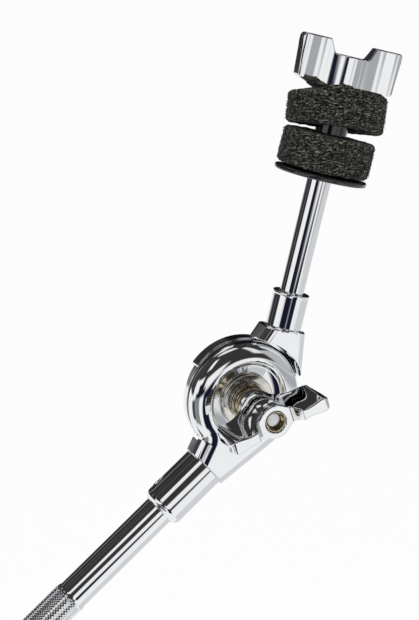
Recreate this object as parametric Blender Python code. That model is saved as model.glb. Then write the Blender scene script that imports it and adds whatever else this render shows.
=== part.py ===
"""Cymbal boom arm: a knurled chromed rod, a friction-drum tilter with its wing nut,
and the post that carries a cymbal between two felts.

Everything is in metres, +Z up. The origin is the centre of the rod's free end.
Two local frames stand on the tilter's pivot, one for each casting. In both, X runs along
the neck away from the pivot, Y runs across to the rod's or post's axis, and Z runs along
the bolt, out of that casting's own face.
"""
import math

import bmesh
import bpy
from mathutils import Matrix, Vector

for old in list(bpy.data.objects):
    bpy.data.objects.remove(old, do_unlink=True)

# Pose, in degrees
BOOM_ANGLE = 39.0          # rod above the horizontal
POST_LEAN = 14.3           # post off the vertical, towards +X
TILTER_WING_RISE = 18.7    # wings of the tilter nut above the horizontal
CYMBAL_WING_TURN = 5.0     # wings of the cymbal nut, turned from the pivot's axis
FELT_TILT = 8.2            # the upper felt lies askew on the sleeve
FELT_TILT_TURN = 71.0      # its raised side, from the post's side towards the tilter nut

# Clearances
GAP = 0.0003               # between pieces that touch
SWING_GAP = 0.0008         # between a disc's rim and the other casting's neck

# Boom rod
ROD_R = 0.0070
KNURL_R = 0.0075
ROD_SMOOTH = 0.0521        # bare rod between the collar and the knurling
KNURL_LENGTH = 0.177
KNURL_FLARE = 0.0015       # ramp at the start of the knurling
ROD_CHAMFER = 0.0012
SOCKET_FLOOR = 0.0357      # depth of the rod and post sockets, from the pivot

# Tilter castings
AXIS_OFFSET = 0.0116       # rod and post axes off the pivot
DISC_R = 0.0261
DISC_FACE = 0.0075         # outer face from the parting plane
DISC_FILLET = 0.0055
RECESS_R = 0.0184
RECESS_FLOOR_R = 0.0126
RECESS_FLOOR = 0.0046      # floor from the parting plane
NECK_END = 0.0334          # end face of the neck block, from the pivot
NECK_NEAR = 0.0018         # near side of each neck, from the pivot
LOWER_NECK_FAR = 0.0224
UPPER_NECK_FAR = 0.0208
NECK_THICK_INSET = 0.0002  # neck faces below the disc faces
NECK_FILLET = 0.0042
NECK_FLARE = 3.0           # degrees of disc that the neck's near side reaches past its centre line
LOWER_COLLAR_R = 0.0097
LOWER_COLLAR_LENGTH = 0.0275
LOWER_COLLAR_ROUND = 0.0035
UPPER_COLLAR_R = 0.0080
UPPER_COLLAR_LENGTH = 0.0163
UPPER_COLLAR_ROUND = 0.0006
RIB_R = 0.02675            # raised rim rib beside the upper neck
RIB_ANGLE = 66.0
RIB_WIDTH = 0.0030

# Friction disc and bolt
FRICTION_R = 0.0252
FRICTION_THICK = 0.0010
BOLT_R = 0.003175
BOLT_CHAMFER = 0.0005
HEAD_R = 0.0066            # hex head, across its corners
HEAD_THICK = 0.0050
HEAD_WASHER_R = 0.0088
HEAD_WASHER_THICK = 0.0016
THRUST_R = 0.0121
THRUST_THICK = 0.0016
SPRING_WASHER_R = 0.0088
SPRING_WASHER_THICK = 0.0006
SPRING_WASHER_DISH = 0.0004

# Wing nuts
HUB_R = 0.0076
HUB_HEIGHT = 0.0181
WING_TOP = 0.0238
WING_SPAN = 0.0241         # half the span
WING_LOW_CORNER = 0.0224
WING_LOW_RISE = 0.0055
WING_FLAT = 0.0080         # flat underside, from the axis
WING_THICK = 0.0058
WING_ROOT = 0.0040         # fillet between hub and wing
NOTCH_FLOOR = 0.0080
NOTCH_TOP = 0.0106
TIP_ROUND = 0.0020
BOSS_R = 0.0074
BOSS_LENGTH = 0.0045
INSERT_WALL = 0.00093
FLANGE_R = 0.0077
FLANGE_THICK = 0.0026
BOLT_SUNK = 0.0025         # the bolt's end below the hub's face
POST_SUNK = 0.0006         # the post's end below the other hub's face

# Post, seat and felts
POST_R = 0.00535
THREAD_R = 0.0039
SHOULDER = 0.1016          # seat disc's shoulder, from the pivot
SEAT_R = 0.0204
SEAT_HUB_R = 0.0105
SEAT_THICK = 0.0027
SEAT_RIM = 0.0021
SEAT_DROOP = 0.0010
LOWER_FELT_R = 0.0200
UPPER_FELT_R = 0.0211
LOWER_FELT_THICK = 0.0153
UPPER_FELT_THICK = 0.0148  # at its rim
UPPER_FELT_CROWN = 0.0020
FELT_ROUND = 0.0016
FELT_LIFT = 0.0007         # least gap between the felts
NUT_SINK = 0.0022          # the nut's base below the upper felt's rim
SLEEVE_R = 0.0070
CYMBAL_INSERT_R = 0.0054

# Set screws
GRUB_R = 0.0023
GRUB_BACK = 0.0089         # lower screw from the collar's end
GRUB_SOCKET_R = 0.0012
GRUB_SOCKET_DEPTH = 0.0008

# Facet counts
DISC_STEPS = 48
ROUND_STEPS = 32
SMALL_STEPS = 20
FILLET_STEPS = 4

# Places that follow from the sizes above
PARTING = FRICTION_THICK / 2 + GAP
STEP_R = max(DISC_R, RIB_R) + SWING_GAP
NECK_FACE = DISC_FACE - NECK_THICK_INSET
BOLT_HOLE_R = BOLT_R + GAP
LOWER_COLLAR_END = NECK_END + LOWER_COLLAR_LENGTH
UPPER_COLLAR_END = NECK_END + UPPER_COLLAR_LENGTH
KNURL_START = LOWER_COLLAR_END + ROD_SMOOTH
ROD_END = KNURL_START + KNURL_LENGTH
THRUST_BASE = RECESS_FLOOR + GAP
SPRING_1_BASE = THRUST_BASE + THRUST_THICK + GAP
SPRING_2_BASE = SPRING_1_BASE + SPRING_WASHER_DISH + SPRING_WASHER_THICK + GAP
FLANGE_BASE = SPRING_2_BASE + SPRING_WASHER_DISH + SPRING_WASHER_THICK + GAP
BOSS_BASE = FLANGE_BASE + FLANGE_THICK + GAP
TILTER_NUT_BASE = BOSS_BASE + BOSS_LENGTH
TILTER_NUT_FACE = TILTER_NUT_BASE + HUB_HEIGHT
TILTER_INSERT_R = BOLT_HOLE_R + INSERT_WALL
HEAD_WASHER_TOP = -(RECESS_FLOOR + GAP)
HEAD_TOP = HEAD_WASHER_TOP - HEAD_WASHER_THICK - GAP
SEAT_BASE = SHOULDER + GAP
LOWER_FELT_BASE = SEAT_BASE + SEAT_THICK + GAP
LOWER_FELT_TOP = LOWER_FELT_BASE + LOWER_FELT_THICK
TILT = math.radians(FELT_TILT)
UPPER_FELT_HALF = UPPER_FELT_THICK / 2
UPPER_FELT_MID = LOWER_FELT_TOP + FELT_LIFT + UPPER_FELT_R * math.sin(TILT) + UPPER_FELT_HALF * math.cos(TILT)
UPPER_FELT_HOLE = SLEEVE_R / math.cos(TILT) + (UPPER_FELT_HALF + UPPER_FELT_CROWN) * math.tan(TILT) + GAP
CYMBAL_NUT_BASE = UPPER_FELT_MID + UPPER_FELT_HALF / math.cos(TILT) - NUT_SINK
CYMBAL_NUT_FACE = CYMBAL_NUT_BASE + HUB_HEIGHT
THREAD_TOP = CYMBAL_NUT_FACE - POST_SUNK

# Frames on the pivot
BOOM = math.radians(BOOM_ANGLE)
LEAN = math.radians(POST_LEAN)
ROD_DIR = Vector((-math.cos(BOOM), 0.0, -math.sin(BOOM)))
ROD_SIDE = Vector((math.sin(BOOM), 0.0, -math.cos(BOOM)))
POST_DIR = Vector((math.sin(LEAN), 0.0, math.cos(LEAN)))
POST_SIDE = Vector((math.cos(LEAN), 0.0, -math.sin(LEAN)))
PIVOT = -ROD_DIR * ROD_END - ROD_SIDE * AXIS_OFFSET


def frame_empty(name, along, across, outward):
    """An empty on the pivot whose axes are the three given directions."""
    empty = bpy.data.objects.new(name, None)
    bpy.context.collection.objects.link(empty)
    axes = Matrix((along, across, outward)).transposed()
    empty.matrix_world = Matrix.Translation(PIVOT) @ axes.to_4x4()
    return empty


def material(name, colour, roughness, metallic):
    made = bpy.data.materials.new(name)
    made.use_nodes = True
    shader = made.node_tree.nodes["Principled BSDF"]
    shader.inputs["Base Color"].default_value = (*colour, 1.0)
    shader.inputs["Roughness"].default_value = roughness
    shader.inputs["Metallic"].default_value = metallic
    return made


def place(name, shape, parent, finish=None):
    """Turn a bmesh into an object in its parent's frame; a shape with no finish is a cutter."""
    bmesh.ops.recalc_face_normals(shape, faces=shape.faces[:])
    mesh = bpy.data.meshes.new(name)
    shape.to_mesh(mesh)
    shape.free()
    mesh.shade_smooth()
    mesh.set_sharp_from_angle(angle=math.radians(35))
    made = bpy.data.objects.new(name, mesh)
    bpy.context.collection.objects.link(made)
    made.parent = parent
    if finish:
        mesh.materials.append(finish)
    else:
        made.hide_render = True
        made.display_type = "WIRE"
    return made


def combine(target, operation, *others):
    """Add one exact Boolean to the target for each of the other objects."""
    for other in others:
        step = target.modifiers.new(other.name, "BOOLEAN")
        step.operation = operation
        step.solver = "EXACT"
        step.object = other


def turned(profile, steps=ROUND_STEPS, turn=Matrix.Identity(4)):
    """Spin a closed (radius, height) outline about Z. A profile on the axis starts and ends there."""
    shape = bmesh.new()
    points = [shape.verts.new((radius, 0.0, height)) for radius, height in profile]
    edges = [shape.edges.new(pair) for pair in zip(points, points[1:])]
    if profile[0][0] > 0.0:
        edges.append(shape.edges.new((points[-1], points[0])))
    bmesh.ops.spin(shape, geom=points + edges, cent=(0, 0, 0), axis=(0, 0, 1), dvec=(0, 0, 0),
                   angle=math.tau, steps=steps, use_merge=True, use_duplicate=False)
    bmesh.ops.remove_doubles(shape, verts=shape.verts[:], dist=1e-7)
    bmesh.ops.transform(shape, matrix=turn, verts=shape.verts[:])
    return shape


def prism(outline, low, high):
    """Extrude an (x, y) outline from one height to another."""
    shape = bmesh.new()
    base = shape.faces.new([shape.verts.new((x, y, low)) for x, y in outline])
    raised = bmesh.ops.extrude_face_region(shape, geom=[base])["geom"]
    corners = [item for item in raised if isinstance(item, bmesh.types.BMVert)]
    bmesh.ops.translate(shape, verts=corners, vec=(0, 0, high - low))
    return shape


def arc(centre, radius, start, end, steps):
    """Points on an arc, in degrees, both ends included."""
    angles = [math.radians(start + (end - start) * i / steps) for i in range(steps + 1)]
    return [(centre[0] + radius * math.cos(a), centre[1] + radius * math.sin(a)) for a in angles]


def rod_shape(radius, low, high):
    """A plain round bar about Z, for cutters and simple pins."""
    return [(0.0, low), (radius, low), (radius, high), (0.0, high)]


def ring_shape(inner, outer, low, high):
    return [(inner, low), (outer, low), (outer, high), (inner, high)]


TO_NECK = Matrix.Translation((0, AXIS_OFFSET, 0)) @ Matrix.Rotation(math.pi / 2, 4, "Y")

boom_frame = frame_empty("boom_frame", ROD_DIR, ROD_SIDE, Vector((0, -1, 0)))
tilt_axis = frame_empty("tilt_axis", POST_DIR, POST_SIDE, Vector((0, 1, 0)))

chrome = material("chrome", (0.80, 0.81, 0.83), 0.06, 1.0)
steel = material("zinc_steel", (0.66, 0.67, 0.68), 0.25, 1.0)
brass = material("brass", (0.78, 0.62, 0.34), 0.22, 1.0)
nickel = material("warm_nickel", (0.70, 0.64, 0.52), 0.20, 1.0)
fibre = material("friction_fibre", (0.05, 0.05, 0.05), 0.8, 0.0)
gloss_black = material("gloss_black", (0.012, 0.012, 0.014), 0.15, 0.0)
felt = material("felt", (0.075, 0.075, 0.068), 0.95, 0.0)


def disc_profile():
    """Half section of a friction disc with its rounded rim, solid to the axis."""
    below = -PARTING
    rim = arc((DISC_R - DISC_FILLET, DISC_FACE - DISC_FILLET), DISC_FILLET, 0, 90, FILLET_STEPS)
    return [(0.0, below), (DISC_R, below)] + rim + [(0.0, DISC_FACE)]


def recess_profile():
    """Half section of what is bored out of a disc: the bolt hole and the bowl-shaped recess."""
    depth = DISC_FACE - RECESS_FLOOR
    width = RECESS_R - RECESS_FLOOR_R
    bowl = [(RECESS_FLOOR_R + width * c, DISC_FACE + depth * s)
            for c, s in arc((0, 0), 1.0, -90, 0, FILLET_STEPS)]
    low = -2 * DISC_FACE
    high = DISC_FACE + GAP
    hole = [(0.0, low), (BOLT_HOLE_R, low), (BOLT_HOLE_R, RECESS_FLOOR)]
    return hole + bowl + [(RECESS_R, high), (0.0, high)]


def neck_block(far):
    """The block between disc and collar, its two long sides rounded on both faces."""
    seat_r = DISC_R - GAP
    reach = math.hypot(NECK_END, far)
    touch = math.atan2(far, NECK_END) + math.acos(seat_r / reach)
    flare = math.radians(-NECK_FLARE)
    outline = [
        (NECK_END, NECK_NEAR), (NECK_END, far), (seat_r * math.cos(touch), seat_r * math.sin(touch)),
        (0.0, 0.0), (seat_r * math.cos(flare), seat_r * math.sin(flare)),
    ]
    shape = prism(outline, -NECK_FACE, NECK_FACE)
    sides = []
    for edge in shape.edges:
        a, b = (corner.co for corner in edge.verts)
        on_face = abs(a.z - b.z) < GAP
        if on_face and max(a.x, b.x) > NECK_END - GAP and abs(a.x - b.x) > GAP:
            sides.append(edge)
    bmesh.ops.bevel(shape, geom=sides, offset=NECK_FILLET, segments=4, profile=0.5,
                    affect="EDGES", clamp_overlap=True)
    return shape


def casting(name, frame, collar, socket_r, collar_end, neck_far):
    """Disc, neck and collar in one, stepped round the other disc, bored for bolt and bar."""
    body = place(name, turned(disc_profile(), DISC_STEPS), frame, chrome)
    neck = place(name + "_neck_form", neck_block(neck_far), frame)
    tube = place(name + "_collar_form", turned(collar, turn=TO_NECK), frame)
    mate = rod_shape(STEP_R, -2 * DISC_FACE, PARTING)
    step = place(name + "_step_cutter", turned(mate, DISC_STEPS), frame)
    recess = place(name + "_recess_cutter", turned(recess_profile(), DISC_STEPS), frame)
    socket = rod_shape(socket_r + GAP, SOCKET_FLOOR, collar_end + LOWER_COLLAR_LENGTH)
    bore = place(name + "_socket_cutter", turned(socket, turn=TO_NECK), frame)
    combine(body, "UNION", neck, tube)
    combine(body, "DIFFERENCE", step, recess, bore)
    return body


def collar_shape(radius, end, rounding):
    """Outline of a round collar along its neck, with its outer end rounded over."""
    start = NECK_END - 2 * GAP
    crown = arc((end - rounding, radius - rounding), rounding, 90, 0, FILLET_STEPS)
    return [(0.0, start), (radius, start)] + [(r, x) for x, r in crown] + [(0.0, end)]


# Boom side: rod, lower casting and its set screw
rod_start = SOCKET_FLOOR + GAP
rod_profile = [
    (0.0, rod_start), (ROD_R - ROD_CHAMFER, rod_start), (ROD_R, rod_start + ROD_CHAMFER),
    (ROD_R, KNURL_START), (KNURL_R, KNURL_START + KNURL_FLARE), (KNURL_R, ROD_END - ROD_CHAMFER),
    (KNURL_R - ROD_CHAMFER, ROD_END), (0.0, ROD_END),
]
place("boom_rod", turned(rod_profile, turn=TO_NECK), boom_frame, chrome)

lower_collar = collar_shape(LOWER_COLLAR_R, LOWER_COLLAR_END, LOWER_COLLAR_ROUND)
lower = casting("lower_tilter_casting", boom_frame, lower_collar, ROD_R, LOWER_COLLAR_END,
                LOWER_NECK_FAR)


def grub(name, frame, host, bar_r, collar_r, along, turn):
    """A set screw in a collar: its tip against the bar, its socket just under the surface."""
    seat = Matrix.Translation((along, AXIS_OFFSET, 0)) @ turn
    tip = bar_r + GAP
    head = collar_r - GAP
    profile = [(0.0, tip), (GRUB_R, tip), (GRUB_R, head), (GRUB_SOCKET_R, head),
               (GRUB_SOCKET_R, head - GRUB_SOCKET_DEPTH), (0.0, head - GRUB_SOCKET_DEPTH)]
    place(name, turned(profile, SMALL_STEPS, seat), frame, steel)
    hole = rod_shape(GRUB_R + GAP, bar_r - GAP, collar_r + GRUB_R)
    combine(host, "DIFFERENCE", place(name + "_hole", turned(hole, SMALL_STEPS, seat), frame))


AWAY_FROM_BOLT = Matrix.Rotation(math.pi / 2, 4, "X")
grub("lower_grub_screw", boom_frame, lower, ROD_R, LOWER_COLLAR_R, LOWER_COLLAR_END - GRUB_BACK,
     AWAY_FROM_BOLT)

# Tilter hardware on the bolt's axis
across = arc((0, 0), HEAD_R, 0, 300, 5)
bolt = place("tilter_bolt", prism(across, HEAD_TOP - HEAD_THICK, HEAD_TOP), boom_frame, steel)
bolt_end = TILTER_NUT_FACE - BOLT_SUNK
shank_profile = [
    (0.0, HEAD_TOP - HEAD_THICK / 2), (BOLT_R, HEAD_TOP - HEAD_THICK / 2),
    (BOLT_R, bolt_end - BOLT_CHAMFER), (BOLT_R - BOLT_CHAMFER, bolt_end), (0.0, bolt_end),
]
shank = place("tilter_bolt_shank_form", turned(shank_profile, SMALL_STEPS), boom_frame)
combine(bolt, "UNION", shank)

head_washer = ring_shape(BOLT_HOLE_R, HEAD_WASHER_R, HEAD_WASHER_TOP - HEAD_WASHER_THICK, HEAD_WASHER_TOP)
place("bolt_head_washer", turned(head_washer), boom_frame, steel)

brake = ring_shape(BOLT_HOLE_R, FRICTION_R, -FRICTION_THICK / 2, FRICTION_THICK / 2)
place("friction_disc", turned(brake, DISC_STEPS), boom_frame, fibre)

thrust = ring_shape(BOLT_HOLE_R, THRUST_R, THRUST_BASE, THRUST_BASE + THRUST_THICK)
place("thrust_washer", turned(thrust), boom_frame, nickel)


def dished(base, outer_rise, inner_rise):
    """Half section of a spring washer, a thin cone between its two rims."""
    return [
        (BOLT_HOLE_R, base + inner_rise), (SPRING_WASHER_R, base + outer_rise),
        (SPRING_WASHER_R, base + outer_rise + SPRING_WASHER_THICK),
        (BOLT_HOLE_R, base + inner_rise + SPRING_WASHER_THICK),
    ]


inner_cone = dished(SPRING_1_BASE, 0.0, SPRING_WASHER_DISH)
place("spring_washer_inner", turned(inner_cone), boom_frame, nickel)
outer_cone = dished(SPRING_2_BASE, SPRING_WASHER_DISH, 0.0)
place("spring_washer_outer", turned(outer_cone), boom_frame, nickel)


def nut_plan():
    """Hub and wings seen along the nut's axis, wings along Y, with filleted roots."""
    half = WING_THICK / 2
    root_x = half + WING_ROOT
    root_y = math.sqrt((HUB_R + WING_ROOT) ** 2 - root_x ** 2)
    meet = math.degrees(math.atan2(root_y, root_x))
    corner = arc((half - TIP_ROUND, WING_SPAN - TIP_ROUND), TIP_ROUND, 90, 0, 3)
    root = arc((root_x, root_y), WING_ROOT, 180, 180 + meet, FILLET_STEPS)
    hub = arc((0, 0), HUB_R, meet, 0, FILLET_STEPS)
    quarter = corner + root + hub[1:]
    right = quarter + [(x, -y) for x, y in reversed(quarter[:-1])]
    return right + [(-x, -y) for x, y in right]


def nut_side():
    """Side view of the wings as (across, height): flat middle, raked undersides, notch on top."""
    half = [(WING_FLAT, 0.0), (WING_LOW_CORNER, WING_LOW_RISE), (WING_SPAN + GAP, WING_TOP),
            (NOTCH_TOP, WING_TOP), (NOTCH_FLOOR, HUB_HEIGHT)]
    return half + [(-y, z) for y, z in reversed(half)]


def wing_nut(name, frame, base, bore_r, boss, turn):
    """A cast wing nut standing on its base, bored for its insert."""
    plan = prism(nut_plan(), -GAP, WING_TOP + GAP)
    bmesh.ops.transform(plan, matrix=turn @ Matrix.Translation((0, 0, base)), verts=plan.verts[:])
    nut = place(name, plan, frame, chrome)
    side = prism(nut_side(), -WING_SPAN, WING_SPAN)
    upright = Matrix(((0, 0, 1, 0), (1, 0, 0, 0), (0, 1, 0, base), (0, 0, 0, 1)))
    bmesh.ops.transform(side, matrix=turn @ upright, verts=side.verts[:])
    combine(nut, "INTERSECT", place(name + "_side_form", side, frame))
    if boss:
        neck = rod_shape(BOSS_R, base - boss, base + HUB_HEIGHT / 2)
        combine(nut, "UNION", place(name + "_boss_form", turned(neck, turn=turn), frame))
    hole = rod_shape(bore_r, base - boss - GAP, base + WING_TOP)
    combine(nut, "DIFFERENCE", place(name + "_hole", turned(hole, SMALL_STEPS, turn), frame))


wing_turn = Matrix.Rotation(math.radians(90 + TILTER_WING_RISE - BOOM_ANGLE), 4, "Z")
wing_nut("tilter_wing_nut", boom_frame, TILTER_NUT_BASE, TILTER_INSERT_R + GAP, BOSS_LENGTH, wing_turn)
insert_top = TILTER_NUT_FACE - GAP
insert_profile = [
    (BOLT_HOLE_R, FLANGE_BASE), (FLANGE_R, FLANGE_BASE), (FLANGE_R, FLANGE_BASE + FLANGE_THICK),
    (TILTER_INSERT_R, FLANGE_BASE + FLANGE_THICK), (TILTER_INSERT_R, insert_top), (BOLT_HOLE_R, insert_top),
]
place("tilter_nut_insert", turned(insert_profile), boom_frame, brass)

# Post side: upper casting with its rim rib, set screw and post
upper_collar = collar_shape(UPPER_COLLAR_R, UPPER_COLLAR_END, UPPER_COLLAR_ROUND)
upper = casting("upper_tilter_casting", tilt_axis, upper_collar, POST_R, UPPER_COLLAR_END,
                UPPER_NECK_FAR)
rib = arc((0, 0), RIB_R, -RIB_ANGLE, 0, 16) + arc((0, 0), RIB_R - RIB_WIDTH, 0, -RIB_ANGLE, 16)
rib_form = place("upper_rib_form", prism(rib, PARTING + GAP, NECK_FACE - GAP), tilt_axis)
combine(upper, "UNION", rib_form)
grub("upper_grub_screw", tilt_axis, upper, POST_R, UPPER_COLLAR_R,
     NECK_END + UPPER_COLLAR_LENGTH / 2, Matrix.Identity(4))

post_profile = [
    (0.0, SOCKET_FLOOR + GAP), (POST_R, SOCKET_FLOOR + GAP), (POST_R, SHOULDER), (THREAD_R, SHOULDER),
    (THREAD_R, THREAD_TOP - BOLT_CHAMFER), (THREAD_R - BOLT_CHAMFER, THREAD_TOP), (0.0, THREAD_TOP),
]
place("cymbal_post", turned(post_profile, turn=TO_NECK), tilt_axis, chrome)

# Cymbal seat: dished disc, felts and sleeve
thread_hole_r = THREAD_R + GAP
rim_top = SEAT_BASE + SEAT_THICK - SEAT_DROOP
seat_profile = [
    (thread_hole_r, SEAT_BASE), (SEAT_HUB_R, SEAT_BASE), (SEAT_R, rim_top - SEAT_RIM), (SEAT_R, rim_top),
    (SEAT_HUB_R, SEAT_BASE + SEAT_THICK), (thread_hole_r, SEAT_BASE + SEAT_THICK),
]
place("seat_disc", turned(seat_profile, turn=TO_NECK), tilt_axis, gloss_black)


def felt_profile(hole_r, outer_r, base, thick, crown):
    """Half section of a felt washer with rounded rims, its top flat or crowned towards the hole."""
    edge = outer_r - FELT_ROUND
    top = base + thick
    low = arc((edge, base + FELT_ROUND), FELT_ROUND, -90, 0, 3)
    high = arc((edge, top - FELT_ROUND), FELT_ROUND, 0, 90, 3)
    steps = FILLET_STEPS if crown else 1
    outward = [1 - (i + 1) / steps for i in range(steps)]
    dome = [(hole_r + (edge - hole_r) * u, top + crown * (1 - u * u)) for u in outward]
    return [(hole_r, base)] + low + high + dome


lower_section = felt_profile(SLEEVE_R + GAP, LOWER_FELT_R, LOWER_FELT_BASE, LOWER_FELT_THICK, 0.0)
place("lower_felt", turned(lower_section, turn=TO_NECK), tilt_axis, felt)

raised_side = Matrix.Rotation(-math.radians(FELT_TILT_TURN), 4, "Z")
askew = TO_NECK @ Matrix.Translation((0, 0, UPPER_FELT_MID)) @ raised_side @ Matrix.Rotation(TILT, 4, "X")
upper_section = felt_profile(UPPER_FELT_HOLE, UPPER_FELT_R, -UPPER_FELT_HALF, UPPER_FELT_THICK,
                             UPPER_FELT_CROWN)
upper_felt = place("upper_felt", turned(upper_section, turn=askew), tilt_axis, felt)
nut_sweep = [
    (0.0, CYMBAL_NUT_BASE - GAP), (WING_FLAT + GAP, CYMBAL_NUT_BASE - GAP),
    (WING_LOW_CORNER + GAP, CYMBAL_NUT_BASE + WING_LOW_RISE - GAP),
    (WING_LOW_CORNER + GAP, CYMBAL_NUT_FACE), (0.0, CYMBAL_NUT_FACE),
]
combine(upper_felt, "DIFFERENCE", place("upper_felt_nut_cutter", turned(nut_sweep, turn=TO_NECK), tilt_axis))

sleeve = ring_shape(thread_hole_r, SLEEVE_R, LOWER_FELT_BASE, CYMBAL_NUT_BASE - GAP)
place("cymbal_sleeve", turned(sleeve, turn=TO_NECK), tilt_axis, gloss_black)

# Wing nut on the post
wing_nut("cymbal_wing_nut", tilt_axis, CYMBAL_NUT_BASE, CYMBAL_INSERT_R + GAP, 0.0,
         TO_NECK @ Matrix.Rotation(-math.radians(CYMBAL_WING_TURN), 4, "Z"))
cymbal_insert = ring_shape(thread_hole_r, CYMBAL_INSERT_R, CYMBAL_NUT_BASE, CYMBAL_NUT_FACE - GAP)
place("cymbal_nut_insert", turned(cymbal_insert, SMALL_STEPS, TO_NECK), tilt_axis, brass)
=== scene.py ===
"""Looks of the cymbal boom arm: polished chrome, charcoal felt, gloss black plastic and plated washers.

The sections follow the arm as it is put together, from the rod up to the wing nut on the post.
Everything is in metres, in the frame of the solids.
"""
import math
import random

import bmesh
import bpy
from mathutils import Matrix, Vector, noise


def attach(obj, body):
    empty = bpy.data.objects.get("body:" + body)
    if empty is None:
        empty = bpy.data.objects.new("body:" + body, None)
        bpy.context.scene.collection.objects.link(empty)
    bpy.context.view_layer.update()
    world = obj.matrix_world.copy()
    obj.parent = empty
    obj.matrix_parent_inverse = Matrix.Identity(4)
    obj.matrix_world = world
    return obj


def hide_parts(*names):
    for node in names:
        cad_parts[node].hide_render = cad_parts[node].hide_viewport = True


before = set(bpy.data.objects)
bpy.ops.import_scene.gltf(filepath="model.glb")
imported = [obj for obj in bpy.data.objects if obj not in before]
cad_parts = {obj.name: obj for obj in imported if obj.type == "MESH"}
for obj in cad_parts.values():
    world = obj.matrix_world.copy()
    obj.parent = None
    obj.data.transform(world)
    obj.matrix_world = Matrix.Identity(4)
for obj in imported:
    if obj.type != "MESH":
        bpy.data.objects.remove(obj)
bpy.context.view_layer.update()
scene = bpy.context.scene
scene.view_settings.view_transform = "Standard"

# Camera
# The arm was pictured from a little above the tilter and to its left, through a long lens,
# so it is placed from the tilter's pivot, with its three axes written out.
PIVOT = Vector((0.218073, 0.0, 0.191518))
TO_RIGHT = Vector((0.91883, -0.39464, 0.0))
TO_TOP = Vector((0.11214, 0.26109, 0.95878))
TO_LENS = Vector((-0.37838, -0.88096, 0.28415))
LENS_PLACE = Vector((-0.26744, -0.58627, 0.23072))
LENS_MM = 89.87
SENSOR_MM = 36.0
camera_data = bpy.data.cameras.new("camera")
camera_data.sensor_fit = "VERTICAL"
camera_data.sensor_height = SENSOR_MM
camera_data.lens = LENS_MM
camera_data.clip_start = 0.01
camera = bpy.data.objects.new("camera", camera_data)
scene.collection.objects.link(camera)
camera.matrix_world = (Matrix.Translation(PIVOT + LENS_PLACE)
                       @ Matrix((TO_RIGHT, TO_TOP, TO_LENS)).transposed().to_4x4())
scene.camera = camera

# Studio
# A white tent over a white sweep. Dark cards round the tent give the metal its black bands, so the
# metal sees the tent and not the sweep. Two soft lamps light the felt and the plastic.
TENT = (0.95, 0.955, 0.96)
WHITE = (1.0, 1.0, 1.0, 1.0)
SOFT_LIGHT = (0.96, 0.98, 1.0, 1.0)
SOFT_LIGHT_POWER = 0.55
CARD_EDGE = math.radians(3.0)
CARDS = [  # turn and height of the middle, half width and half height in degrees, colour
    (0, 44, 181, 47, (0.040, 0.038, 0.037)),
    (-163, 8, 31, 13, (0.97, 0.97, 0.97)),
    (-131, 42, 9, 11, (0.97, 0.97, 0.97)),
    (-54, 38, 6, 20, (0.85, 0.86, 0.88)),
    (-26, 13, 24, 17, (0.50, 0.51, 0.53)),
    (4, 6, 16, 11, (0.36, 0.37, 0.39)),
    (44, 28, 32, 34, (0.008, 0.008, 0.010)),
    (104, 62, 28, 12, (0.85, 0.85, 0.85)),
    (93, 48, 9, 13, (0.90, 0.90, 0.90)),
    (134, 22, 42, 24, (0.030, 0.030, 0.034)),
    (118, 16, 3, 20, (0.22, 0.22, 0.23)),
    (150, 24, 2, 22, (0.20, 0.20, 0.21)),
    (-124, 76, 62, 9, (0.85, 0.85, 0.85)),
    (-147, -25, 20, 18, (0.26, 0.26, 0.27)),
    (-99, 3, 17, 9, (0.97, 0.97, 0.97)),
    (-132, -4, 25, 4, (0.010, 0.010, 0.026)),
    (-132, 2, 12, 9, (0.010, 0.010, 0.026)),
    (-92, -23, 15, 17, (0.010, 0.010, 0.026)),
    (-174, -24, 13, 14, (0.05, 0.05, 0.06)),
    (-24, -11, 36, 6, (0.42, 0.43, 0.45)),
    (6, -22, 52, 6, (0.68, 0.69, 0.71)),
    (14, -46, 50, 14, (0.70, 0.71, 0.73)),
    (62, -34, 8, 5, (0.12, 0.12, 0.13)),
]


def links(tree, *pairs):
    for source, target in pairs:
        tree.links.new(source, target)


def math_node(tree, operation, *inputs):
    """A Math node whose inputs are sockets or numbers; gives its output."""
    node = tree.nodes.new("ShaderNodeMath")
    node.operation = operation
    for socket, value in zip(node.inputs, inputs):
        if isinstance(value, bpy.types.NodeSocket):
            tree.links.new(value, socket)
        else:
            socket.default_value = value
    return node.outputs[0]


card = bpy.data.node_groups.new("studio_card", "ShaderNodeTree")
for name, kind in (("Behind", "Color"), ("Direction", "Vector"), ("Turn", "Float"), ("Height", "Float"),
                   ("Half Width", "Float"), ("Half Height", "Float"), ("Card", "Color")):
    card.interface.new_socket(name, in_out="INPUT", socket_type="NodeSocket" + kind)
card.interface.new_socket("Seen", in_out="OUTPUT", socket_type="NodeSocketColor")
given = card.nodes.new("NodeGroupInput").outputs
facing = card.nodes.new("ShaderNodeVectorRotate")
facing.rotation_type = "Z_AXIS"
facing.invert = True
split = card.nodes.new("ShaderNodeSeparateXYZ")
blend = card.nodes.new("ShaderNodeMix")
blend.data_type = "RGBA"
seen = card.nodes.new("NodeGroupOutput")
links(card, (given["Direction"], facing.inputs["Vector"]), (given["Turn"], facing.inputs["Angle"]),
      (facing.outputs["Vector"], split.inputs["Vector"]))
aside = math_node(card, "ABSOLUTE", math_node(card, "ARCTAN2", split.outputs["Y"], split.outputs["X"]))
raised = math_node(card, "ARCSINE", split.outputs["Z"])
above = math_node(card, "ABSOLUTE", math_node(card, "SUBTRACT", raised, given["Height"]))
inside = []
for offset, reach in ((aside, given["Half Width"]), (above, given["Half Height"])):
    fade = card.nodes.new("ShaderNodeMapRange")
    fade.interpolation_type = "SMOOTHSTEP"
    links(card, (math_node(card, "SUBTRACT", reach, offset), fade.inputs["Value"]))
    fade.inputs["From Min"].default_value = -CARD_EDGE
    fade.inputs["From Max"].default_value = CARD_EDGE
    inside.append(fade.outputs["Result"])
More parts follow.
